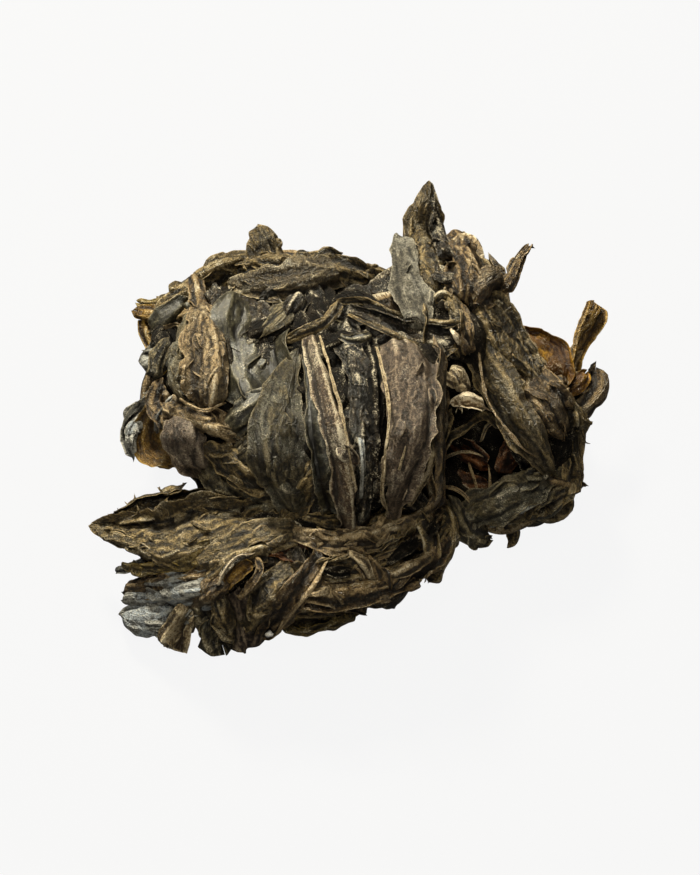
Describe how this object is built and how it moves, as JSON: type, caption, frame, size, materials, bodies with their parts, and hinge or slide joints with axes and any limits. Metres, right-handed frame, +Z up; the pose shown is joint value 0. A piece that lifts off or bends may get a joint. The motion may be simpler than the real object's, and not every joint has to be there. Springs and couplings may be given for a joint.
{
  "type": "dried wakame bundle",
  "caption": "Stiff crumpled wad of dried wakame seaweed: folded, pleated fronds with a pale midrib across the middle and a dark hollow at the right.",
  "frame": {"origin": "middle of the bundle's box at the height of the table that it lies on", "axes": "+Z up from the table, +X to the right as seen from the front, +Y away from the front towards the tall peak at the back right"},
  "size_m": [0.1824, 0.1606, 0.0758],
  "materials": {
    "dried_seaweed": "dry, leathery seaweed: brown-black with tan ridges, amber thin edges and a grey salt bloom, partly satin"
  },
  "bodies": {
    "root": {"wakame_bundle": "dried_seaweed"}
  },
  "joints": []
}
